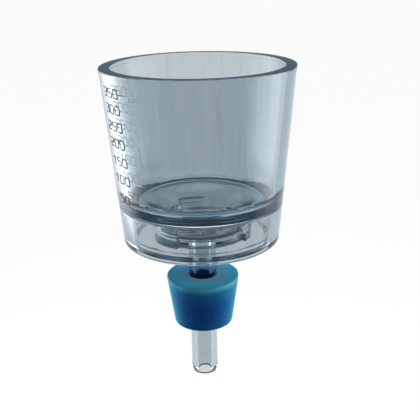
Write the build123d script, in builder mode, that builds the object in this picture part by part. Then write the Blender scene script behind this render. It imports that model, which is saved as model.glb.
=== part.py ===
from build123d import *
from math import cos, radians, sin, tan
import os

# Vacuum filtration unit: a graduated funnel that locks with a quarter-turn bayonet onto a filter
# base, whose stem carries a tapered stopper for the neck of a vacuum flask. Millimetres, +Z up.
# The origin is on the axis at half the height of the stopper, where a flask neck grips it.

# ---------------------------------------------------------------- driving dimensions
# Stopper, a plain No. 8
stopper_top_diameter = 41.0
stopper_bottom_diameter = 33.0
stopper_height = 28.5
stopper_edge_chamfer = 0.6

# Stem
stem_diameter = 15.2
stem_bore_diameter = 8.0
stem_gap = 23.35  # bare stem between the stopper and the foot of the funnel's skirt
stem_tail = 33.6  # bare stem below the stopper
stem_edge_chamfer = 0.4
stem_root_radius = 2.0

# Funnel: outer cone and rim
funnel_height = 94.75
foot_radius = 42.9
rim_radius = 51.0
cup_wall = 5.9
skirt_wall = 5.5
foot_edge_radius = 1.4
rim_edge_chamfer = 0.5
rim_band_height = 2.75
rim_band_step = 0.25

# Funnel: floor, well and neck, heights above the foot of the skirt
floor_underside = 20.9
floor_thickness = 2.8
floor_fillet = 7.5
well_diameter = 41.0
well_mouth_radius = 10.5
neck_diameter = 49.0
neck_root_radius = 7.0
skirt_corner_radius = 1.5
neck_seat_gap = 0.4  # the neck's end face above the membrane seat, taken up by the seal

# Face seal in the end of the neck, halfway between the well and the outside of the neck
seal_section = 2.2
seal_side_clearance = 0.1
seal_roof_clearance = 0.1
seal_standoff = 0.05  # the seal above the membrane seat, room for the membrane

# Base: plate inside the skirt
plate_underside = 0.5
plate_thickness = 2.5
plate_skirt_clearance = 0.5
plate_lip_height = 2.3
plate_lip_width = 1.5

# Base: pedestal as wide as the neck, with the membrane seat, height above the foot of the skirt
membrane_seat = 7.2
screen_diameter = 42.0
screen_thickness = 1.6
screen_side_clearance = 0.15
screen_ledge = 1.2
drain_rim_depth = 0.5
drain_slope = 7.0  # degrees
drain_rib_count = 6
drain_rib_width = 1.4

# Perforation of the support screen
screen_hole_diameter = 2.8
screen_hole_rings = 3
screen_hole_margin = 1.1  # between the outermost holes and the edge of the drain
screen_edge_chamfer = 0.3

# Bayonet: lugs on the neck, posts on the base
bayonet_count = 3
lug_reach = 1.4
lug_height = 2.4
lug_lift = 2.0  # underside of a lug above the end of the neck
lug_arc = 26.0  # degrees
post_arc = 36.0
post_stop_arc = 4.5
post_start = -34.0  # degrees from +X to the closed end of the first post
post_wall = 1.3
post_roof = 1.9
bayonet_clearance = 0.3
lug_rest_gap = 2.0  # degrees between a lug and the open end of its post before the turn

# ---------------------------------------------------------------- heights and radii worked out
stopper_top = stopper_height / 2
stopper_bottom = -stopper_top
foot = stopper_top + stem_gap
rim = foot + funnel_height
stem_end = stopper_bottom - stem_tail
floor_under = foot + floor_underside
floor_top = floor_under + floor_thickness
seat = foot + membrane_seat
neck_end = seat + neck_seat_gap
plate_bottom = foot + plate_underside
plate_top = plate_bottom + plate_thickness
screen_bottom = seat - screen_thickness

stem_radius = stem_diameter / 2
bore_radius = stem_bore_diameter / 2
well_radius = well_diameter / 2
neck_radius = neck_diameter / 2
pedestal_radius = neck_radius
seal_mean_radius = (well_radius + neck_radius) / 2
lug_radius = neck_radius + lug_reach
post_inner_radius = neck_radius + bayonet_clearance
channel_radius = lug_radius + bayonet_clearance
post_radius = channel_radius + post_wall
lug_bottom = neck_end + lug_lift
lug_top = lug_bottom + lug_height
post_top = lug_top + bayonet_clearance + post_roof
cone_slope = (rim_radius - foot_radius) / funnel_height


def outer_radius(z):
    """Radius of the funnel's outer cone at height z."""
    return foot_radius + cone_slope * (z - foot)


def arc_sector(inner, outer, start, arc):
    """Sketch of a ring sector between two radii, from start, over arc degrees."""
    with BuildSketch(mode=Mode.PRIVATE) as sector:
        with BuildLine():
            outside = CenterArc((0, 0), outer, start, arc)
            inside = CenterArc((0, 0), inner, start, arc)
            Line(outside @ 0, inside @ 0)
            Line(outside @ 1, inside @ 1)
        make_face()
    return sector.sketch


# ---------------------------------------------------------------- stopper
with BuildPart() as stopper:
    with BuildSketch(Plane.XZ):
        with BuildLine():
            Polyline(
                (stem_radius, stopper_bottom),
                (stopper_bottom_diameter / 2, stopper_bottom),
                (stopper_top_diameter / 2, stopper_top),
                (stem_radius, stopper_top),
                close=True,
            )
        make_face()
    revolve(axis=Axis.Z)
    outer_rims = stopper.edges().filter_by(GeomType.CIRCLE).filter_by(lambda e: e.radius > stem_radius + 1)
    chamfer(outer_rims, stopper_edge_chamfer)

# ---------------------------------------------------------------- base
# Plate, pedestal and stem are one moulding. The section starts at the stem's end and runs round
# the outside, over the lip and the pedestal, and down the drain and the bore.
plate_radius = outer_radius(foot) - skirt_wall - plate_skirt_clearance
lip_inner_radius = plate_radius - plate_lip_width
lip_top = plate_top + plate_lip_height
recess_radius = screen_diameter / 2 + screen_side_clearance
drain_radius = screen_diameter / 2 - screen_ledge
drain_rim = screen_bottom - drain_rim_depth
drain_mouth = drain_rim - (drain_radius - bore_radius) * tan(radians(drain_slope))

with BuildPart() as base:
    with BuildSketch(Plane.XZ):
        with BuildLine():
            Polyline(
                (bore_radius, stem_end),
                (stem_radius, stem_end),
                (stem_radius, plate_bottom),
                (plate_radius, plate_bottom),
                (plate_radius, lip_top),
                (lip_inner_radius, lip_top),
                (lip_inner_radius, plate_top),
                (pedestal_radius, plate_top),
                (pedestal_radius, seat),
                (recess_radius, seat),
                (recess_radius, screen_bottom),
                (drain_radius, screen_bottom),
                (drain_radius, drain_rim),
                (bore_radius, drain_mouth),
                close=True,
            )
        make_face()
    revolve(axis=Axis.Z)

    stem_root = base.edges().filter_by(GeomType.CIRCLE).filter_by(
        lambda e: abs(e.radius - stem_radius) < 0.01 and e.center().Z > stopper_top
    )
    fillet(stem_root, stem_root_radius)
    stem_tip = base.edges().filter_by(GeomType.CIRCLE).filter_by(lambda e: e.center().Z < stopper_bottom)
    chamfer(stem_tip, stem_edge_chamfer)

    # Ribs on the drain floor carry the screen between its ledge and the bore.
    rib_start = bore_radius + 2.0
    rib_end = drain_radius + screen_ledge / 2
    with BuildSketch(Plane.XY.offset(drain_mouth - 0.5)):
        with PolarLocations(0, drain_rib_count):
            with Locations(((rib_start + rib_end) / 2, 0)):
                Rectangle(rib_end - rib_start, drain_rib_width)
    extrude(amount=screen_bottom - drain_mouth + 0.5)

    # Bayonet posts: ring sectors on the plate, just outside the neck.
    post_starts = [post_start + 360 / bayonet_count * i for i in range(bayonet_count)]
    with BuildSketch(Plane.XY.offset(plate_top)):
        for start in post_starts:
            add(arc_sector(pedestal_radius, post_radius, start, post_arc))
    extrude(amount=post_top - plate_top)
    # Above the pedestal they stand clear of the neck.
    with BuildSketch(Plane.XY.offset(seat)):
        for start in post_starts:
            add(arc_sector(pedestal_radius - 1, post_inner_radius, start - 1, post_arc + 2))
    extrude(amount=post_top - seat, mode=Mode.SUBTRACT)
    # The lug's channel is open at the end that the lug comes in by.
    with BuildSketch(Plane.XY.offset(lug_bottom - bayonet_clearance)):
        for start in post_starts:
            channel_start = start + post_stop_arc
            add(arc_sector(pedestal_radius - 1, channel_radius, channel_start, post_arc))
    extrude(amount=lug_height + 2 * bayonet_clearance, mode=Mode.SUBTRACT)

# ---------------------------------------------------------------- support screen
outermost_ring = drain_radius - screen_hole_margin - screen_hole_diameter / 2
hole_pitch = outermost_ring / screen_hole_rings
hole_rings = [(hole_pitch * ring, 6 * ring) for ring in range(1, screen_hole_rings + 1)]

with BuildPart() as support_screen:
    with BuildSketch(Plane.XY.offset(screen_bottom)):
        Circle(screen_diameter / 2)
    extrude(amount=screen_thickness)
    chamfer(support_screen.edges().filter_by(GeomType.CIRCLE), screen_edge_chamfer)
    with BuildSketch(Plane.XY.offset(screen_bottom)):
        Circle(screen_hole_diameter / 2)
        for ring_radius, holes in hole_rings:
            with PolarLocations(ring_radius, holes):
                Circle(screen_hole_diameter / 2)
    extrude(amount=screen_thickness, mode=Mode.SUBTRACT)

# ---------------------------------------------------------------- seal
seal_bottom = seat + seal_standoff
seal_centre = seal_bottom + seal_section / 2

with BuildPart() as funnel_seal:
    with BuildSketch(Plane.XZ):
        with Locations((seal_mean_radius, seal_centre)):
            Circle(seal_section / 2)
    revolve(axis=Axis.Z)

# ---------------------------------------------------------------- funnel
groove_width = seal_section + 2 * seal_side_clearance
groove_roof = seal_bottom + seal_section + seal_roof_clearance
band_bottom = rim - rim_band_height

with BuildPart() as funnel:
    # Cup: the outer cone, with the slightly proud band under the rim.
    with BuildSketch(Plane.XZ):
        with BuildLine():
            Polyline(
                (0, foot),
                (foot_radius, foot),
                (outer_radius(band_bottom), band_bottom),
                (outer_radius(band_bottom) + rim_band_step, band_bottom),
                (rim_radius + rim_band_step, rim),
                (0, rim),
                close=True,
            )
        make_face()
    revolve(axis=Axis.Z)
    # Inside of the cup, down to the floor, with the well through it.
    with BuildSketch(Plane.XZ):
        with BuildLine():
            Polyline(
                (0, floor_top),
                (outer_radius(floor_top) - cup_wall, floor_top),
                (rim_radius - cup_wall, rim),
                (0, rim),
                close=True,
            )
        make_face()
    revolve(axis=Axis.Z, mode=Mode.SUBTRACT)
    # Space inside the skirt, round the neck.
    with BuildSketch(Plane.XZ):
        with BuildLine():
            Polyline(
                (neck_radius, foot),
                (outer_radius(foot) - skirt_wall, foot),
                (outer_radius(floor_under) - skirt_wall, floor_under),
                (neck_radius, floor_under),
                close=True,
            )
        make_face()
    revolve(axis=Axis.Z, mode=Mode.SUBTRACT)
    # The neck ends above the membrane seat.
    with BuildSketch(Plane.XY.offset(foot)):
        Circle(neck_radius)
    extrude(amount=neck_end - foot, mode=Mode.SUBTRACT)
    with BuildSketch(Plane.XY.offset(neck_end)):
        Circle(well_radius)
    extrude(amount=floor_top - neck_end, mode=Mode.SUBTRACT)

    circles = funnel.edges().filter_by(GeomType.CIRCLE)
    floor_circles = circles.filter_by(lambda e: abs(e.center().Z - floor_top) < 0.01)
    fillet(floor_circles.sort_by(SortBy.RADIUS)[-1], floor_fillet)
    circles = funnel.edges().filter_by(GeomType.CIRCLE)
    mouth = circles.filter_by(lambda e: abs(e.center().Z - floor_top) < 0.01 and e.radius < neck_radius)
    fillet(mouth, well_mouth_radius)
    under = circles.filter_by(lambda e: abs(e.center().Z - floor_under) < 0.01).sort_by(SortBy.RADIUS)
    fillet(under[0], neck_root_radius)
    fillet(under[-1], skirt_corner_radius)
    foot_edge = circles.filter_by(lambda e: abs(e.center().Z - foot) < 0.01).sort_by(SortBy.RADIUS)[-1]
    fillet(foot_edge, foot_edge_radius)
    chamfer(circles.filter_by(lambda e: abs(e.center().Z - rim) < 0.01), rim_edge_chamfer)

    # Groove for the seal in the end face of the neck.
    with BuildSketch(Plane.XY.offset(neck_end)):
        Circle(seal_mean_radius + groove_width / 2)
        Circle(seal_mean_radius - groove_width / 2, mode=Mode.SUBTRACT)
    extrude(amount=groove_roof - neck_end, mode=Mode.SUBTRACT)

    # Bayonet lugs, standing beside the open ends of their posts before the turn.
    lug_start = post_start + post_arc + lug_rest_gap
    with BuildSketch(Plane.XY.offset(lug_bottom)):
        for i in range(bayonet_count):
            add(arc_sector(neck_radius - 1, lug_radius, lug_start + 360 / bayonet_count * i, lug_arc))
    extrude(amount=lug_height)

# ---------------------------------------------------------------- export
os.makedirs("parts", exist_ok=True)
stopper.part.label = "stopper"
base.part.label = "base"
support_screen.part.label = "support_screen"
funnel_seal.part.label = "funnel_seal"
funnel.part.label = "funnel"
export_step(stopper.part, "parts/stopper.step")
export_step(base.part, "parts/base.step")
export_step(support_screen.part, "parts/support_screen.step")
export_step(funnel_seal.part, "parts/funnel_seal.step")
export_step(funnel.part, "parts/funnel.step")
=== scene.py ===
import math

import bmesh
import bpy
from mathutils import Matrix, Vector


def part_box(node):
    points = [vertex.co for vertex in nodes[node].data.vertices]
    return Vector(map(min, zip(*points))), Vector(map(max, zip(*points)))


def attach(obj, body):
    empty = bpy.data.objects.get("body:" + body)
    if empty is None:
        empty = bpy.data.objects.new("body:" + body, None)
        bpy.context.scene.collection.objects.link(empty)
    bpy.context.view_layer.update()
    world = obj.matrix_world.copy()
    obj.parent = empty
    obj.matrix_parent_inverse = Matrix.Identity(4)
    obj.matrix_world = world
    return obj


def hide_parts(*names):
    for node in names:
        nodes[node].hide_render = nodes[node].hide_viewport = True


# Vacuum filtration unit: looks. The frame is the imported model's: +Z up along the axis, origin at half
# the height of the stopper. Sizes of the object are in millimetres, and MM turns them into metres.
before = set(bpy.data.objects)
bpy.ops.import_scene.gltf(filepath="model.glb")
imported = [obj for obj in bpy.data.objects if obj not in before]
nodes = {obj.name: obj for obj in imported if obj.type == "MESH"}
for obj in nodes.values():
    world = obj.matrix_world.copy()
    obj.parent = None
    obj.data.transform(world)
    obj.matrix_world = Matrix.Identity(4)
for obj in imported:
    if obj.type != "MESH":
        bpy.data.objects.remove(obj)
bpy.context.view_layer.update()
MM = 0.001

# ---------------------------------------------------------------- sizes, as in the CAD model
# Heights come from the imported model. Radii and walls are the CAD model's own values.
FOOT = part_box("funnel")[0].z / MM
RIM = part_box("funnel")[1].z / MM
STEM_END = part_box("base")[0].z / MM
STOPPER_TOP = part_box("stopper")[1].z / MM

FOOT_RADIUS = 42.9
RIM_RADIUS = 51.0
CONE_SLOPE = (RIM_RADIUS - FOOT_RADIUS) / (RIM - FOOT)
CUP_WALL = 5.9
SKIRT_WALL = 5.5
RIM_BAND_HEIGHT = 2.75
RIM_BAND_STEP = 0.25
FLOOR_UNDERSIDE = FOOT + 20.9
FLOOR_TOP = FLOOR_UNDERSIDE + 2.8
WELL_RADIUS = 20.5
NECK_RADIUS = 24.5
SEAT = FOOT + 7.2
NECK_END = SEAT + 0.4
GROOVE_INNER = 21.3
GROOVE_OUTER = 23.7
GROOVE_ROOF = NECK_END + 1.95

STEM_RADIUS = 7.6
BORE_RADIUS = 4.0
PLATE_RADIUS = FOOT_RADIUS - SKIRT_WALL - 0.5
PLATE_BOTTOM = FOOT + 0.5
PLATE_TOP = PLATE_BOTTOM + 2.5
LIP_TOP = PLATE_TOP + 2.3
LIP_WIDTH = 1.5
SCREEN_RECESS = 21.15
SCREEN_BOTTOM = SEAT - 1.6
DRAIN_RADIUS = 19.8
DRAIN_RIM = SCREEN_BOTTOM - 0.5
DRAIN_MOUTH = DRAIN_RIM - (DRAIN_RADIUS - BORE_RADIUS) * math.tan(math.radians(7))
RIB_COUNT = 6
RIB_WIDTH = 1.4
RIB_START = BORE_RADIUS + 2.0
RIB_END = DRAIN_RADIUS + 0.6
RIB_EDGE = 0.15

BAYONET_COUNT = 3
POST_START = -34.0
POST_ARC = 36.0
POST_STOP_ARC = 4.5
POST_RADIUS = 27.5
POST_INNER = 24.8
CHANNEL_RADIUS = 26.2
LUG_RADIUS = 25.9
LUG_ARC = 26.0
LUG_START = POST_START + POST_ARC + 2.0
LUG_BOTTOM = NECK_END + 2.0
LUG_TOP = LUG_BOTTOM + 2.4
POST_TOP = LUG_TOP + 2.2
CHANNEL_GAP = 0.3
LUG_FACETS = 24
POST_FACETS = 32
GAP_FACETS = 36

STOPPER_TOP_RADIUS = 20.5
STOPPER_BOTTOM_RADIUS = 16.5
GRIP_GAP = 0.05  # keeps faces that touch in the CAD model just apart


def outer_radius(z):
    """Radius of the funnel's outer cone at height z."""
    return FOOT_RADIUS + CONE_SLOPE * (z - FOOT)


# ---------------------------------------------------------------- mesh helpers
ARC_STEP = 9.0  # degrees of turn per facet in a rounded corner
SUPPORT = 0.15  # distance of a supporting loop from a corner
SHARP_ANGLE = math.radians(35)


def rounded(corners):
    """Closed outline through corners (radius, height, corner radius), with arcs at the corners."""
    points = []
    for i, (x, z, radius) in enumerate(corners):
        here = Vector((x, z))
        before = Vector(corners[i - 1][:2]) - here
        after = Vector(corners[(i + 1) % len(corners)][:2]) - here
        if radius == 0:
            points.append(here)
            continue
        half = before.angle(after) / 2
        centre = here + (before.normalized() + after.normalized()).normalized() * radius / math.sin(half)
        start = here + before.normalized() * radius / math.tan(half)
        turn = math.pi - 2 * half
        if before.cross(after) > 0:
            turn = -turn
        steps = max(2, round(abs(math.degrees(turn)) / ARC_STEP))
        for k in range(steps + 1):
            points.append(centre + Matrix.Rotation(turn * k / steps, 2) @ (start - centre))
    return points


def supported(points):
    """Adds a point near each end of a long side, which keeps its shading straight."""
    result = []
    for here, there in zip(points, points[1:] + points[:1]):
        result.append(here)
        side = there - here
        if side.length > 6 * SUPPORT:
            result.append(here + side.normalized() * SUPPORT)
            result.append(there - side.normalized() * SUPPORT)
    return result


def shade(mesh):
    """Smooth shading, apart from the sharp edges."""
    mesh.shade_smooth()
    mesh.set_sharp_from_angle(angle=SHARP_ANGLE)


def finish_mesh(bm, name):
    bmesh.ops.recalc_face_normals(bm, faces=bm.faces)
    mesh = bpy.data.meshes.new(name)
    bm.to_mesh(mesh)
    bm.free()
    shade(mesh)
    piece = bpy.data.objects.new(name, mesh)
    bpy.context.collection.objects.link(piece)
    return piece


def revolve(name, outline, start=0.0, arc=360.0, segments=256):
    """Turns a closed outline of (radius, height) about the axis, from start over arc degrees."""
    bm = bmesh.new()
    whole = arc >= 360
    rings = []
    for i in range(segments if whole else segments + 1):
        angle = math.radians(start + arc * i / segments)
        points = [(r * MM * math.cos(angle), r * MM * math.sin(angle), z * MM) for r, z in outline]
        rings.append([bm.verts.new(point) for point in points])
    for ring, following in zip(rings, rings[1:] + (rings[:1] if whole else [])):
        for k in range(len(outline)):
            n = (k + 1) % len(outline)
            bm.faces.new((ring[k], following[k], following[n], ring[n]))
    if not whole:
        bm.faces.new(rings[0])
        bm.faces.new(rings[-1])
    return finish_mesh(bm, name)


def join(body, parts, operation="UNION"):
    """Adds the parts to body, or cuts them from it, and removes them."""
    group = bpy.data.collections.new("operands")
    for part in parts:
        group.objects.link(part)
    modifier = body.modifiers.new("boolean", "BOOLEAN")
    modifier.operation = operation
    modifier.solver = "MANIFOLD"
    modifier.operand_type = "COLLECTION"
    modifier.collection = group
    bpy.context.view_layer.update()
    result = body.evaluated_get(bpy.context.evaluated_depsgraph_get())
    mesh = bpy.data.meshes.new_from_object(result)
    body.modifiers.clear()
    body.data = mesh
    for part in parts:
        bpy.data.objects.remove(part)
    bpy.data.collections.remove(group)


# ---------------------------------------------------------------- node helpers
def new_tree(name):
    material = bpy.data.materials.new(name)
    material.use_nodes = True
    tree = material.node_tree
    tree.nodes.clear()
    return material, tree


def feed(tree, socket, value):
    """Links a node's output to the socket, or sets the socket to a number or a colour."""
    if isinstance(value, bpy.types.NodeSocket):
        tree.links.new(value, socket)
    else:
        socket.default_value = value


def add(tree, kind, **inputs):
    """A new node, with inputs given by name and _ for a space."""
    node = tree.nodes.new(kind)
    for key, value in inputs.items():
        feed(tree, node.inputs[key.replace("_", " ")], value)
    return node


def calculate(tree, operation, *values):
    """The output of a Math node."""
    node = tree.nodes.new("ShaderNodeMath")
    node.operation = operation
    for socket, value in zip(node.inputs, values):
        feed(tree, socket, value)
    return node.outputs[0]


def position(tree, kind="Object"):
    """The surface's coordinates, as outputs X, Y and Z."""
    place = tree.nodes.new("ShaderNodeTexCoord")
    return add(tree, "ShaderNodeSeparateXYZ", Vector=place.outputs[kind]).outputs


def from_axis(tree):
    """The distance from the object's own Z axis."""
    place = tree.nodes.new("ShaderNodeTexCoord")
    flat = tree.nodes.new("ShaderNodeVectorMath")
    flat.operation = "MULTIPLY"
    flat.inputs[1].default_value = (1, 1, 0)
    tree.links.new(place.outputs["Object"], flat.inputs[0])
    length = tree.nodes.new("ShaderNodeVectorMath")
    length.operation = "LENGTH"
    tree.links.new(flat.outputs["Vector"], length.inputs[0])
    return length.outputs["Value"]


def noise(tree, scale, detail=3.0, stretch=(1, 1, 1)):
    """A noise field in the object's own coordinates, with scale in features per metre."""
    place = tree.nodes.new("ShaderNodeTexCoord")
    mapping = add(tree, "ShaderNodeMapping", Vector=place.outputs["Object"], Scale=stretch)
    field = add(tree, "ShaderNodeTexNoise", Vector=mapping.outputs["Vector"], Scale=scale, Detail=detail)
    return field.outputs["Fac"]


def spread(tree, fac, low, high):
    """Maps a 0 to 1 field to the range from low to high."""
    return add(tree, "ShaderNodeMapRange", Value=fac, To_Min=low, To_Max=high).outputs["Result"]


def between(tree, value, start, end):
    """Maps a value from start to end to the range from 0 to 1."""
    return add(tree, "ShaderNodeMapRange", Value=value, From_Min=start, From_Max=end).outputs["Result"]


def ramp(tree, fac, stops):
    """Colours by a 0 to 1 field, through stops of (place, colour)."""
    node = add(tree, "ShaderNodeValToRGB", Fac=fac)
    elements = node.color_ramp.elements
    elements[0].position, elements[0].color = stops[0][0], (*stops[0][1], 1)
    elements[1].position, elements[1].color = stops[-1][0], (*stops[-1][1], 1)
    for place, colour in stops[1:-1]:
        elements.new(place).color = (*colour, 1)
    return node.outputs["Color"]


def mix(tree, factor, first, second, data_type="FLOAT"):
    """Goes from first to second, two numbers or two RGBA colours, as factor goes from 0 to 1."""
    node = tree.nodes.new("ShaderNodeMix")
    node.data_type = data_type
    for key, value in (("Factor", factor), ("A", first), ("B", second)):
        feed(tree, node.inputs[key], value)
    return node.outputs["Result"]


def mix_shaders(tree, share, first, second):
    """Goes from the first shader to the second as share goes from 0 to 1."""
    node = tree.nodes.new("ShaderNodeMixShader")
    for socket, value in zip(node.inputs, (share, first, second)):
        tree.links.new(value, socket)
    return node.outputs[0]


def bump(tree, height, depth):
    return add(tree, "ShaderNodeBump", Height=height, Distance=depth, Strength=1.0).outputs["Normal"]


# ---------------------------------------------------------------- materials
BLACK = (0, 0, 0)
WHITE = (1, 1, 1)

CLEAR_IOR = 1.53
CLEAR_GLINT = (0.38, 0.4, 0.42, 1)
TINT_COLOUR = (0.1, 0.433, 0.60, 1)
FUNNEL_DYE = 60.0  # density of the tint
BASE_DYE = 30.0
SMOKE = (0.72, 0.72, 0.72)  # the funnel's colour at each face
LIGHT_SMOKE = (0.95, 0.95, 0.95)  # of the base and the screen
STEM_SMOKE = (0.63, 0.665, 0.68)
STEM_FADE = 5  # below the base plate, where the stem's colour starts
POLISHED = (0.0, 0.02)  # range of roughness
FINE_SATIN = (0.1, 0.2)
FLOW_SCALE = 60  # features per metre, as in all scales here
FLOW_STRETCH = (1, 1, 0.25)
FLOW_DEPTH = 0.00004
STREAK_SCALE = 260
STREAK_STRETCH = (1, 1, 0.04)
HANDLING_SCALE = 300  # of the clear plastic's gloss

RELIEF_IOR = 1.5
RELIEF_CLOUD_SCALE = 400
RELIEF_SMEAR_SCALE = 900

SILICONE_IOR = 1.41
CLOUD_SCALE = 120  # of silicone's colour
SMEAR_SCALE = 500  # of its gloss
GRAIN_SCALE = 2500  # of its surface
GRAIN_DEPTH = 0.00002

STOPPER_IOR = 1.25
STOPPER_CLARITY = 0.7
STOPPER_GLINT = (0.05, 0.4, 0.8, 1)
STOPPER_SHEEN = (0.0, 0.7, 1, 1)
STOPPER_BODY = (0.02, 0.42, 0.83, 1)
STOPPER_DYE = 260.0
DYE_AND_PAINTED_TOP_LIGHT = [  # share of the stopper's height, colour: the dye, paler towards the top as painted light
    (0.0, (0.0, 0.03, 0.30)),
    (0.6, (0.0, 0.035, 0.36)),
    (0.9, (0.0, 0.18, 0.5)),
    (1.0, (0.15, 0.68, 0.97)),
]
PAINTED_BORE_SHADE_AND_END_FACE_LIGHT = [  # share of the way from the bore to the skin, colour: painted shade of near black at the bore, then a grey-blue end face lightened as painted light
    (0.02, (0, 0.003, 0.012)),
    (0.05, (0.48, 0.62, 0.72)),
    (1.0, (0.34, 0.66, 0.85)),
]
# A painted highlight, pale cyan, rings the stopper's top edge.
PAINTED_BRIM_HIGHLIGHT = (0.2, 0.8, 1.0, 1)
BRIM_START = 0.965  # share of the edge's radius where the painted highlight starts
BRIM_HIGHLIGHT_FADE = [(0, BLACK), (0.5, (0.1, 0.1, 0.1)), (0.95, (0.6, 0.6, 0.6))]


def clear_plastic(name, density, smoke, roughness=POLISHED, stem=None):
    """Clear moulded plastic: smoke is its tint at each face, or stem below the base plate, and the
    volume's tint deepens with the path in it."""
    material, tree = new_tree(name)
    flow = noise(tree, FLOW_SCALE, 0.0, FLOW_STRETCH)
    streaks = noise(tree, STREAK_SCALE, 2.0, STREAK_STRETCH)
    if stem:
        rise = between(tree, position(tree)["Z"], (PLATE_BOTTOM - STEM_FADE) * MM, PLATE_BOTTOM * MM)
        tone = ramp(tree, calculate(tree, "MULTIPLY_ADD", streaks, 0.1, rise), [(0, stem), (1, smoke)])
    else:
        dark, light = ([c * share for c in smoke] for share in (0.95, 1.05))
        tone = ramp(tree, streaks, [(0.3, dark), (0.7, light)])
    shader = add(
        tree, "ShaderNodeBsdfPrincipled", Base_Color=tone, IOR=CLEAR_IOR, Transmission_Weight=1.0,
        Specular_Tint=CLEAR_GLINT, Roughness=spread(tree, noise(tree, HANDLING_SCALE), *roughness),
        Normal=bump(tree, flow, FLOW_DEPTH),
    )
    body = add(tree, "ShaderNodeVolumeAbsorption", Density=density, Color=TINT_COLOUR)
    add(tree, "ShaderNodeOutputMaterial", Surface=shader.outputs["BSDF"], Volume=body.outputs["Volume"])
    return material


def silicone(name, dark, light):
    """Smooth satin silicone."""
    material, tree = new_tree(name)
    shader = add(
        tree, "ShaderNodeBsdfPrincipled", IOR=SILICONE_IOR,
        Base_Color=ramp(tree, noise(tree, CLOUD_SCALE), [(0.3, dark), (0.7, light)]),
        Roughness=spread(tree, noise(tree, SMEAR_SCALE), 0.32, 0.42),
        Normal=bump(tree, noise(tree, GRAIN_SCALE, 4.0), GRAIN_DEPTH),
    )
    add(tree, "ShaderNodeOutputMaterial", Surface=shader.outputs["BSDF"])
    return material


def satin_relief(name, dark, light):
    """Raised strokes with a matt face, of a grey between dark and light."""
    material, tree = new_tree(name)
    shader = add(
        tree, "ShaderNodeBsdfPrincipled", IOR=RELIEF_IOR, Specular_Tint=CLEAR_GLINT,
        Base_Color=ramp(tree, noise(tree, RELIEF_CLOUD_SCALE), [(0.3, dark), (0.7, light)]),
        Roughness=spread(tree, noise(tree, RELIEF_SMEAR_SCALE), 0.5, 0.65),
    )
    add(tree, "ShaderNodeOutputMaterial", Surface=shader.outputs["BSDF"])
    return material


def tinted_silicone(name, low, high, bore, skin, edge):
    """Tinted silicone that lets some light through, between the heights low and high, and paler towards the
    high end as painted light. The bore has painted shade of near black, and the end face near it is a
    grey-blue lightened as painted light. Skin is the radius at the low end, and edge at the high end, whose
    top edge has a painted highlight."""
    material, tree = new_tree(name)
    rise = between(tree, position(tree)["Z"], low, high)
    # The colour runs paler towards the top end: painted light on the stopper's top.
    dye_and_top_light = ramp(tree, calculate(tree, "MULTIPLY_ADD", noise(tree, CLOUD_SCALE), 0.06, rise), DYE_AND_PAINTED_TOP_LIGHT)
    reach = from_axis(tree)
    outwards = between(tree, reach, bore, skin)
    # Towards the bore the end-face colours take over: painted shade of near black at the bore, then a
    # grey-blue lightened as painted light.
    clear_of_bore_shade = ramp(tree, outwards, [(0.5, BLACK), (0.95, WHITE)])
    colour = mix(tree, clear_of_bore_shade, ramp(tree, outwards, PAINTED_BORE_SHADE_AND_END_FACE_LIGHT), dye_and_top_light, "RGBA")
    # Painted highlight around the top edge.
    brim_highlight = ramp(tree, between(tree, reach, edge * BRIM_START, edge), BRIM_HIGHLIGHT_FADE)
    shader = add(
        tree, "ShaderNodeBsdfPrincipled", Base_Color=mix(tree, brim_highlight, colour, PAINTED_BRIM_HIGHLIGHT, "RGBA"),
        IOR=STOPPER_IOR, Transmission_Weight=STOPPER_CLARITY, Specular_Tint=STOPPER_GLINT,
        Sheen_Weight=1.0, Sheen_Roughness=0.42, Sheen_Tint=STOPPER_SHEEN,
        Roughness=spread(tree, noise(tree, SMEAR_SCALE), 0.4, 0.5),
        Normal=bump(tree, noise(tree, GRAIN_SCALE, 4.0), GRAIN_DEPTH),
    )
    body = add(tree, "ShaderNodeVolumeAbsorption", Density=STOPPER_DYE, Color=STOPPER_BODY)
    add(tree, "ShaderNodeOutputMaterial", Surface=shader.outputs["BSDF"], Volume=body.outputs["Volume"])
    return material


def assign(obj, material):
    obj.data.materials.clear()
    obj.data.materials.append(material)


# ---------------------------------------------------------------- funnel
def funnel_outline():
    band = RIM - RIM_BAND_HEIGHT
    inner = outer_radius(FLOOR_TOP) - CUP_WALL
    return supported(rounded([
        (FOOT_RADIUS, FOOT, 1.4),
        (outer_radius(band), band, 0.1),
        (outer_radius(band) + RIM_BAND_STEP, band, 0.1),
        (RIM_RADIUS + RIM_BAND_STEP - 0.04, RIM, 0.6),
        (RIM_RADIUS - CUP_WALL, RIM, 0.6),
        (inner, FLOOR_TOP, 7.5),
        (WELL_RADIUS, FLOOR_TOP, 10.5),
        (WELL_RADIUS, NECK_END, 0.25),
        (GROOVE_INNER, NECK_END, 0.1),
        (GROOVE_INNER, GROOVE_ROOF, 0.1),
        (GROOVE_OUTER, GROOVE_ROOF, 0.1),
        (GROOVE_OUTER, NECK_END, 0.1),
        (NECK_RADIUS, NECK_END, 0.25),
        (NECK_RADIUS, FLOOR_UNDERSIDE, 7.0),
        (outer_radius(FLOOR_UNDERSIDE) - SKIRT_WALL, FLOOR_UNDERSIDE, 1.5),
        (FOOT_RADIUS - SKIRT_WALL, FOOT, 0.3),
    ]))


def block(inner, outer, low, high, edge):
    """Rounded rectangular section between two radii and two heights."""
    return rounded([(inner, low, edge), (outer, low, edge), (outer, high, edge), (inner, high, edge)])


def around(name, outline, start, arc, segments):
    """The same ring sector at each bayonet station."""
    return [
        revolve(f"{name}_{i}", outline, start + 360 / BAYONET_COUNT * i, arc, segments)
        for i in range(BAYONET_COUNT)
    ]


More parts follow.
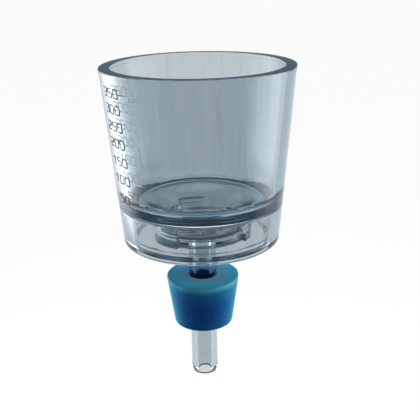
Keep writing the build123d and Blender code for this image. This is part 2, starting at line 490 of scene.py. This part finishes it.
# Strokes of each character, in a cell one unit wide and high.
STROKES = {
    "0": [[(0, 0), (1, 0), (1, 1), (0, 1), (0, 0)]],
    "1": [[(0.1, 0.72), (0.55, 1), (0.55, 0)]],
    "2": [[(0, 1), (1, 1), (1, 0.5), (0, 0.5), (0, 0), (1, 0)]],
    "3": [[(0, 1), (1, 1), (1, 0.5), (0.35, 0.5)], [(1, 0.5), (1, 0), (0, 0)]],
    "5": [[(1, 1), (0, 1), (0, 0.55), (1, 0.55), (1, 0), (0, 0)]],
    "m": [[(0, 0), (0, 0.62), (1, 0.62), (1, 0)], [(0.5, 0.62), (0.5, 0)]],
    "l": [[(0.3, 0), (0.3, 1)]],
}
GLYPH_WIDTH = 3.8
GLYPH_HEIGHT = 4.3
GLYPH_PITCH = 5.4
GLYPH_CORNER = 0.8
BEND_STEPS = (0, 0.2, 0.4, 0.6, 0.8, 1)
RIDGE_WIDTH = 0.85
RIDGE_HEIGHT = 0.28
RIDGE_SIDES = 10
RIDGE_END = 0.75  # share of the ridge's width and height at an open end


def bend(points, radius):
    """Rounds the inner corners of a path of (across, up) points, and says if the path is closed."""
    points = [Vector(p) for p in points]
    closed = points[0] == points[-1]
    corners = range(len(points) - 1) if closed else range(1, len(points) - 1)
    path = []
    for k in corners:
        here = points[k]
        before = points[k - 1] if k > 0 else points[-2]
        start = here + (before - here).normalized() * radius
        end = here + (points[k + 1] - here).normalized() * radius
        for t in BEND_STEPS:
            path.append(start * (1 - t) ** 2 + here * 2 * t * (1 - t) + end * t * t)
    if closed:
        return path + [path[0]], True
    return [points[0]] + path + [points[-1]], False


def on_cone(across, up, out, azimuth, height):
    """A point on the funnel's outside: mm across and up from (azimuth, height), and out of the wall."""
    z = height + up
    radius = outer_radius(z)
    angle = math.radians(azimuth - 90) + across / radius
    radius += out
    return Vector((radius * math.cos(angle), radius * math.sin(angle), z)) * MM


def ridge(name, points, azimuth, height):
    """A raised, rounded line on the funnel's outside along a path."""
    path, closed = bend(points, GLYPH_CORNER)
    bm = bmesh.new()
    rings = []
    count = len(path) - 1 if closed else len(path)
    for k in range(count):
        here = path[k]
        before = path[k - 1] if k > 0 else (path[-2] if closed else here)
        after = path[k + 1] if k + 1 < len(path) else here
        along = (after - before).normalized()
        side = Vector((along.y, -along.x))
        size = RIDGE_END if not closed and k in (0, count - 1) else 1
        ring = []
        for j in range(RIDGE_SIDES):
            angle = 2 * math.pi * j / RIDGE_SIDES
            flat = here + side * math.cos(angle) * RIDGE_WIDTH / 2 * size
            out = math.sin(angle) * RIDGE_HEIGHT * size
            ring.append(bm.verts.new(on_cone(flat.x, flat.y, out, azimuth, height)))
        rings.append(ring)
    for ring, following in zip(rings, rings[1:] + (rings[:1] if closed else [])):
        for j in range(RIDGE_SIDES):
            n = (j + 1) % RIDGE_SIDES
            bm.faces.new((ring[j], following[j], following[n], ring[n]))
    if not closed:
        bm.faces.new(rings[0])
        bm.faces.new(rings[-1])
    return finish_mesh(bm, name)


def label(text, azimuth, height, scale=1.0):
    """Raised characters, centred on (azimuth, height)."""
    pieces = []
    start = -(len(text) - 1) * GLYPH_PITCH * scale / 2 - GLYPH_WIDTH * scale / 2
    for i, character in enumerate(text):
        for k, stroke in enumerate(STROKES[character]):
            points = [
                (start + (i * GLYPH_PITCH + x * GLYPH_WIDTH) * scale, (y - 0.5) * GLYPH_HEIGHT * scale)
                for x, y in stroke
            ]
            pieces.append(ridge(f"ridge_{text}_{i}_{k}", points, azimuth, height))
    return pieces


NUMBER_AZIMUTH = -59.0  # degrees from the front
TOP_TICK_AZIMUTH = -49.0
TICK_AZIMUTH = -42.0
UNIT_AZIMUTH = -36.5
UNIT_DROP = 1.0
UNIT_SIZE = 0.85  # of a number's size
TICK = [(0, 0), (3.6, 0)]
LEVELS = {350: 123.2, 300: 115.1, 250: 106.3, 200: 97.6, 150: 88.2, 100: 78.5, 50: 67.8}  # ml: height
# Numbers and lines are one clear moulding: the numbers' dark grey is painted shade, and the lines' pale
# grey is painted light.
NUMBER_PAINTED_SHADE = ((0.08, 0.095, 0.105), (0.11, 0.125, 0.135))
LINE_PAINTED_LIGHT = ((0.36, 0.41, 0.44), (0.44, 0.49, 0.52))


def make_marks(name, strokes, painted_tones):
    """Joins raised strokes to one piece on the funnel."""
    bm = bmesh.new()
    for stroke in strokes:
        bm.from_mesh(stroke.data)
        bpy.data.objects.remove(stroke)
    marks = finish_mesh(bm, name)
    assign(marks, satin_relief(name, *painted_tones))
    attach(marks, "funnel")


def make_scale():
    top = max(LEVELS)
    numbers = [ridge(f"tick_{top}", TICK, TOP_TICK_AZIMUTH, LEVELS[top])]
    lines = label("ml", UNIT_AZIMUTH, LEVELS[top] - UNIT_DROP, UNIT_SIZE)
    for volume, height in LEVELS.items():
        numbers += label(str(volume), NUMBER_AZIMUTH, height)
        if volume < top:
            lines.append(ridge(f"tick_{volume}", TICK, TICK_AZIMUTH, height))
    make_marks("scale_numbers", numbers, NUMBER_PAINTED_SHADE)
    make_marks("scale_lines", lines, LINE_PAINTED_LIGHT)


def make_funnel():
    funnel = revolve("clear_funnel", funnel_outline())
    lug = block(NECK_RADIUS - 1, LUG_RADIUS, LUG_BOTTOM, LUG_TOP, 0.2)
    join(funnel, around("lug", lug, LUG_START, LUG_ARC, LUG_FACETS))
    shade(funnel.data)
    assign(funnel, clear_plastic("clear_funnel", FUNNEL_DYE, SMOKE))
    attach(funnel, "funnel")
    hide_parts("funnel")


# ---------------------------------------------------------------- base
def base_outline():
    return supported(rounded([
        (BORE_RADIUS, STEM_END, 0.6),
        (STEM_RADIUS, STEM_END, 1.2),
        (STEM_RADIUS, PLATE_BOTTOM, 2.0),
        (PLATE_RADIUS, PLATE_BOTTOM, 0.4),
        (PLATE_RADIUS, LIP_TOP, 0.4),
        (PLATE_RADIUS - LIP_WIDTH, LIP_TOP, 0.4),
        (PLATE_RADIUS - LIP_WIDTH, PLATE_TOP, 0.4),
        (NECK_RADIUS, PLATE_TOP, 0.5),
        (NECK_RADIUS, SEAT, 0.3),
        (SCREEN_RECESS, SEAT, 0.1),
        (SCREEN_RECESS, SCREEN_BOTTOM, 0),
        (DRAIN_RADIUS, SCREEN_BOTTOM, 0),
        (DRAIN_RADIUS, DRAIN_RIM, 0.3),
        (BORE_RADIUS, DRAIN_MOUTH, 0.8),
    ]))


def drain_rib(name, azimuth):
    """A bar on the drain floor that carries the screen, from near the bore to under the ledge."""
    low, high = DRAIN_MOUTH - 0.5, SCREEN_BOTTOM - GRIP_GAP
    size = Matrix.Diagonal((RIB_END - RIB_START, RIB_WIDTH, high - low, 1))
    place = Matrix.Translation(((RIB_START + RIB_END) / 2, 0, (low + high) / 2))
    bm = bmesh.new()
    bmesh.ops.create_cube(bm, size=1)
    bm.transform(Matrix.Rotation(math.radians(azimuth), 4, "Z") @ place @ size)
    bmesh.ops.bevel(bm, geom=bm.edges[:], offset=RIB_EDGE, segments=2, affect="EDGES")
    bm.transform(Matrix.Scale(MM, 4))
    return finish_mesh(bm, name)


def make_base():
    base = revolve("clear_base", base_outline())
    join(base, [drain_rib(f"rib_{i}", 360 / RIB_COUNT * i) for i in range(RIB_COUNT)])
    post = block(NECK_RADIUS - 0.5, POST_RADIUS, PLATE_TOP - 0.5, POST_TOP, 0.25)
    join(base, around("post", post, POST_START, POST_ARC, POST_FACETS))
    # Above the seat the posts stand clear of the neck.
    gap = block(NECK_RADIUS - 1.5, POST_INNER, SEAT, POST_TOP + 1, 0)
    join(base, around("gap", gap, POST_START - 1, POST_ARC + 2, GAP_FACETS), "DIFFERENCE")
    # The lug's channel is open at the end that the lug comes in by.
    channel = block(NECK_RADIUS - 1.5, CHANNEL_RADIUS, LUG_BOTTOM - CHANNEL_GAP, LUG_TOP + CHANNEL_GAP, 0.1)
    join(base, around("channel", channel, POST_START + POST_STOP_ARC, POST_ARC, POST_FACETS), "DIFFERENCE")
    shade(base.data)
    assign(base, clear_plastic("clear_base", BASE_DYE, LIGHT_SMOKE, stem=STEM_SMOKE))
    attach(base, "base")
    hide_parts("base")


# ---------------------------------------------------------------- stopper
def make_stopper():
    outline = supported(rounded([
        (STEM_RADIUS + GRIP_GAP, -STOPPER_TOP, 0),
        (STOPPER_BOTTOM_RADIUS, -STOPPER_TOP, 0.9),
        (STOPPER_TOP_RADIUS, STOPPER_TOP, 0.9),
        (STEM_RADIUS + GRIP_GAP, STOPPER_TOP, 0),
    ]))
    stopper = revolve("blue_stopper", outline)
    sizes = (-STOPPER_TOP, STOPPER_TOP, STEM_RADIUS, STOPPER_BOTTOM_RADIUS, STOPPER_TOP_RADIUS)
    assign(stopper, tinted_silicone("blue_silicone", *(size * MM for size in sizes)))
    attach(stopper, "base")
    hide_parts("stopper")


make_funnel()
make_scale()
make_base()
make_stopper()
assign(nodes["support_screen"], clear_plastic("clear_screen", BASE_DYE, LIGHT_SMOKE, FINE_SATIN))
assign(nodes["funnel_seal"], silicone("seal_silicone", (0.5, 0.52, 0.52), (0.6, 0.62, 0.62)))


# ---------------------------------------------------------------- camera
CAMERA_DISTANCE = 0.3701  # from the axis
CAMERA_HEIGHT = 0.1863
CAMERA_PITCH = math.radians(19.7)
CAMERA_YAW = math.radians(0.75)
CAMERA_ROLL = math.radians(-1.15)
LENS = 61.1  # focal length


def make_camera():
    data = bpy.data.cameras.new("camera")
    data.lens = LENS
    camera = bpy.data.objects.new("camera", data)
    bpy.context.collection.objects.link(camera)
    turn = Matrix.Rotation(-CAMERA_YAW, 4, "Z") @ Matrix.Rotation(math.pi / 2 - CAMERA_PITCH, 4, "X")
    roll = Matrix.Rotation(CAMERA_ROLL, 4, "Z")
    camera.matrix_world = Matrix.Translation((0, -CAMERA_DISTANCE, CAMERA_HEIGHT)) @ turn @ roll
    bpy.context.scene.camera = camera


make_camera()


# ---------------------------------------------------------------- stage, in metres
FLOOR_DROP = 0.35
FLOOR_SIZE = 15.0
FLOOR_COLOUR = (0.9, 0.9, 0.9, 1)
FLOOR_LIT = 0.05  # share of the floor's own shading, with the shadow, where it is seen

HORIZON = (0.97, 0.97, 0.97)
SLATE = (0.2, 0.28, 0.36)  # a darker zone above the horizon, which the rim reflects
SKY = [(-90, HORIZON), (3, HORIZON), (6, SLATE), (18, SLATE), (24, HORIZON), (90, HORIZON)]  # degrees up
WORLD_FILL = 0.15  # the world's strength on matt surfaces

PANEL_DISTANCE = 0.7
PANEL_HEIGHT = 1.0
PANEL_CLEARANCE = 0.01  # above the floor
PANEL_FOOT = (0.08, 0.2)  # share of the height over which an upright panel fades in
PANEL_COLOUR = (1, 0.96, 0.92, 1)
PANEL_INNER = 1.3  # gain where a far wall reflects a panel, seen through a near one


def white_where_seen(name, colour, lit):
    """A surface that is plain white to the camera and in glass and gloss, apart from a share that is lit
    as usual, and lit as usual for all other rays."""
    material, tree = new_tree(name)
    path = tree.nodes.new("ShaderNodeLightPath").outputs
    seen = calculate(tree, "MAXIMUM", path["Is Camera Ray"], path["Is Glossy Ray"])
    seen = calculate(tree, "MAXIMUM", seen, path["Is Transmission Ray"])
    share = calculate(tree, "MULTIPLY", seen, 1 - lit)
    diffuse = add(tree, "ShaderNodeBsdfDiffuse", Color=colour)
    white = add(tree, "ShaderNodeEmission", Color=(1, 1, 1, 1), Strength=1.0)
    surface = mix_shaders(tree, share, diffuse.outputs[0], white.outputs[0])
    add(tree, "ShaderNodeOutputMaterial", Surface=surface)
    return material


def panel_light(name, glow, strength, fill):
    """A light that fades to nothing by glow: strength where one face reflects it, fill on matt surfaces,
    and plain white where it is seen through something clear or after many reflections."""
    material, tree = new_tree(name)
    path = tree.nodes.new("ShaderNodeLightPath").outputs
    once = calculate(tree, "COMPARE", path["Glossy Depth"], 1.0, 0.1)
    inside = calculate(tree, "GREATER_THAN", path["Transmission Depth"], 0.5)
    shine = mix(tree, once, 1.0, spread(tree, inside, strength, strength * PANEL_INNER))
    level = mix(tree, path["Is Diffuse Ray"], shine, fill)
    light = add(tree, "ShaderNodeEmission", Color=PANEL_COLOUR, Strength=level)
    clear = tree.nodes.new("ShaderNodeBsdfTransparent")
    surface = mix_shaders(tree, glow(tree), clear.outputs[0], light.outputs[0])
    add(tree, "ShaderNodeOutputMaterial", Surface=surface)
    material.cycles.emission_sampling = "NONE"  # keeps the kinds of ray apart
    return material


def plane(name, corners):
    mesh = bpy.data.meshes.new(name)
    mesh.from_pydata(corners, [], [(0, 1, 2, 3)])
    piece = bpy.data.objects.new(name, mesh)
    bpy.context.collection.objects.link(piece)
    return piece


def level_square(half, height):
    return [(-half, -half, height), (half, -half, height), (half, half, height), (-half, half, height)]


def make_floor():
    floor = plane("floor", level_square(FLOOR_SIZE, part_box("base")[0].z - FLOOR_DROP))
    assign(floor, white_where_seen("floor_white", FLOOR_COLOUR, FLOOR_LIT))


def make_world():
    world = bpy.data.worlds.new("studio")
    bpy.context.scene.world = world
    world.use_nodes = True
    tree = world.node_tree
    tree.nodes.clear()
    climb = calculate(tree, "ARCSINE", position(tree, "Generated")["Z"])
    share = between(tree, climb, -math.pi / 2, math.pi / 2)
    sky = ramp(tree, share, [((angle + 90) / 180, colour) for angle, colour in SKY])
    path = tree.nodes.new("ShaderNodeLightPath")
    strength = spread(tree, path.outputs["Is Diffuse Ray"], 1.0, WORLD_FILL)
    studio = add(tree, "ShaderNodeBackground", Color=sky, Strength=strength)
    add(tree, "ShaderNodeOutputWorld", Surface=studio.outputs[0])
    world.cycles.sampling_method = "NONE"


def overhead(name, size, height, strength, fill):
    """A level light panel over the object, soft towards its rim."""
    half = size / 2
    panel = plane(name, level_square(half, 0))
    panel.location = (0, 0, height)

    def glow(tree):
        return ramp(tree, from_axis(tree), [(0, WHITE), (half * 0.5, WHITE), (half, BLACK)])

    assign(panel, panel_light(name, glow, strength, fill))
    panel.visible_camera = False


def softbox(name, azimuth, width, strength, fill, edges):
    """An upright light panel that faces the axis; edges are the soft shares at its left and right."""
    half = width / 2
    panel = plane(name, [(-half, 0, 0), (half, 0, 0), (half, 0, PANEL_HEIGHT), (-half, 0, PANEL_HEIGHT)])
    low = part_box("base")[0].z - FLOOR_DROP + PANEL_CLEARANCE
    turn = Matrix.Rotation(math.radians(azimuth), 4, "Z")
    panel.matrix_world = turn @ Matrix.Translation((0, -PANEL_DISTANCE, low))
    left, right = edges
    foot, top = PANEL_FOOT

    def glow(tree):
        place = position(tree, "Generated")
        across = ramp(tree, place["X"], [(0, BLACK), (left, WHITE), (1 - right, WHITE), (1, BLACK)])
        rise = ramp(tree, place["Z"], [(foot, BLACK), (top, WHITE)])
        return calculate(tree, "MULTIPLY", across, rise)

    assign(panel, panel_light(name, glow, strength, fill))
    panel.visible_camera = False


make_floor()
make_world()
overhead("top_panel", size=1.6, height=0.8, strength=3.0, fill=4.5)
softbox("left_panel", azimuth=-110, width=1.25, strength=4.0, fill=4.0, edges=(0.4, 0.5))
softbox("right_panel", azimuth=88, width=0.95, strength=4.0, fill=6.5, edges=(0.35, 0.25))

# ---------------------------------------------------------------- end
cycles = bpy.context.scene.cycles
cycles.max_bounces = 24
cycles.transmission_bounces = 24
cycles.glossy_bounces = 12
bpy.context.scene.view_settings.view_transform = "Standard"
